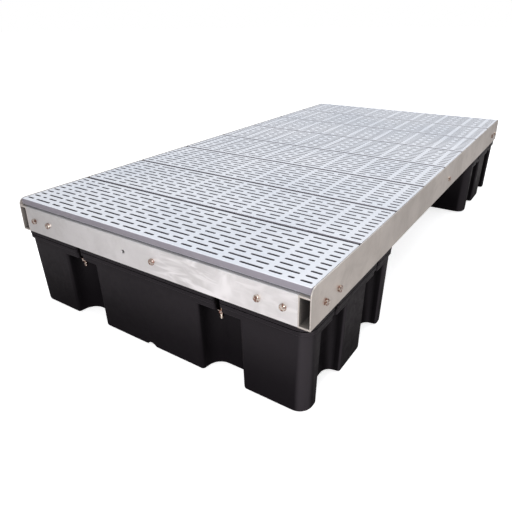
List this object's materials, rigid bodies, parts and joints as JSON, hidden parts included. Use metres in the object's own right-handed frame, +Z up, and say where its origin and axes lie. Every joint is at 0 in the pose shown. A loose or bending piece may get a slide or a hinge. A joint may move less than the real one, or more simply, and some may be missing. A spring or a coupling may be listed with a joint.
{
  "type": "spill containment pallet",
  "caption": "Aluminium-framed platform pallet with loose slotted drain planks that lift out, standing on moulded sump tubs bolted under both ends",
  "frame": {"origin": "on the floor under the centre of the pallet's footprint", "axes": "+Z up; +Y along the length, from the front end (the one with the empty centre hole) to the rear end; +X across the width, to the right seen from the front end"},
  "size_m": [1.235, 2.4542, 0.4236],
  "materials": {
    "mill_aluminium_rail": "mill-finish extrusion, faint die lines and handling scuffs",
    "brushed_aluminium_beam": "bright mill finish with swirled cleaning marks",
    "mill_aluminium_inner": "mill-finish extrusion and plate",
    "stainless_fastener": "stainless, turned and lightly worn",
    "deck_plastic": "moulded, fine leather grain, cool light grey",
    "tub_plastic": "rotationally moulded black, satin with pale rubbed edges"
  },
  "bodies": {
    "frame": {"side_stringer_left": "mill_aluminium_rail", "side_stringer_right": "mill_aluminium_rail", "end_beam_front": "brushed_aluminium_beam", "end_beam_rear": "brushed_aluminium_beam", "cross_beam": "mill_aluminium_inner", "centre_stringer_front": "mill_aluminium_inner", "centre_stringer_rear": "mill_aluminium_inner", "corner_bracket_front_left": "mill_aluminium_inner", "end_centre_bracket_front_left": "mill_aluminium_inner", "cross_centre_bracket_front_left": "mill_aluminium_inner", "corner_bracket_front_right": "mill_aluminium_inner", "end_centre_bracket_front_right": "mill_aluminium_inner", "cross_centre_bracket_front_right": "mill_aluminium_inner", "corner_bracket_rear_left": "mill_aluminium_inner", "end_centre_bracket_rear_left": "mill_aluminium_inner", "cross_centre_bracket_rear_left": "mill_aluminium_inner", "corner_bracket_rear_right": "mill_aluminium_inner", "end_centre_bracket_rear_right": "mill_aluminium_inner", "cross_centre_bracket_rear_right": "mill_aluminium_inner", "middle_bracket_left": "mill_aluminium_inner", "middle_bracket_right": "mill_aluminium_inner", "end_beam_bolts": "stainless_fastener", "stringer_bolts": "stainless_fastener", "centre_bolts": "stainless_fastener", "frame_nut_washers": "stainless_fastener", "frame_nuts": "stainless_fastener", "tub_bolts": "stainless_fastener", "tub_head_washers": "stainless_fastener", "tub_nut_washers": "stainless_fastener", "tub_nuts": "stainless_fastener", "sump_tub_front": "tub_plastic", "sump_tub_rear": "tub_plastic"},
    "plank_1": {"deck_plank_1": "deck_plastic"},
    "plank_2": {"deck_plank_2": "deck_plastic"},
    "plank_3": {"deck_plank_3": "deck_plastic"},
    "plank_4": {"deck_plank_4": "deck_plastic"},
    "plank_5": {"deck_plank_5": "deck_plastic"},
    "plank_6": {"deck_plank_6": "deck_plastic"},
    "plank_7": {"deck_plank_7": "deck_plastic"},
    "plank_8": {"deck_plank_8": "deck_plastic"}
  },
  "joints": [
    {"name": "plank_1_lift", "type": "slide", "parent": "frame", "child": "plank_1", "axis": [0, 0, 1], "range_m": [0, 0.15]},
    {"name": "plank_2_lift", "type": "slide", "parent": "frame", "child": "plank_2", "axis": [0, 0, 1], "range_m": [0, 0.15]},
    {"name": "plank_3_lift", "type": "slide", "parent": "frame", "child": "plank_3", "axis": [0, 0, 1], "range_m": [0, 0.15]},
    {"name": "plank_4_lift", "type": "slide", "parent": "frame", "child": "plank_4", "axis": [0, 0, 1], "range_m": [0, 0.15]},
    {"name": "plank_5_lift", "type": "slide", "parent": "frame", "child": "plank_5", "axis": [0, 0, 1], "range_m": [0, 0.15]},
    {"name": "plank_6_lift", "type": "slide", "parent": "frame", "child": "plank_6", "axis": [0, 0, 1], "range_m": [0, 0.15]},
    {"name": "plank_7_lift", "type": "slide", "parent": "frame", "child": "plank_7", "axis": [0, 0, 1], "range_m": [0, 0.15]},
    {"name": "plank_8_lift", "type": "slide", "parent": "frame", "child": "plank_8", "axis": [0, 0, 1], "range_m": [0, 0.15]}
  ]
}
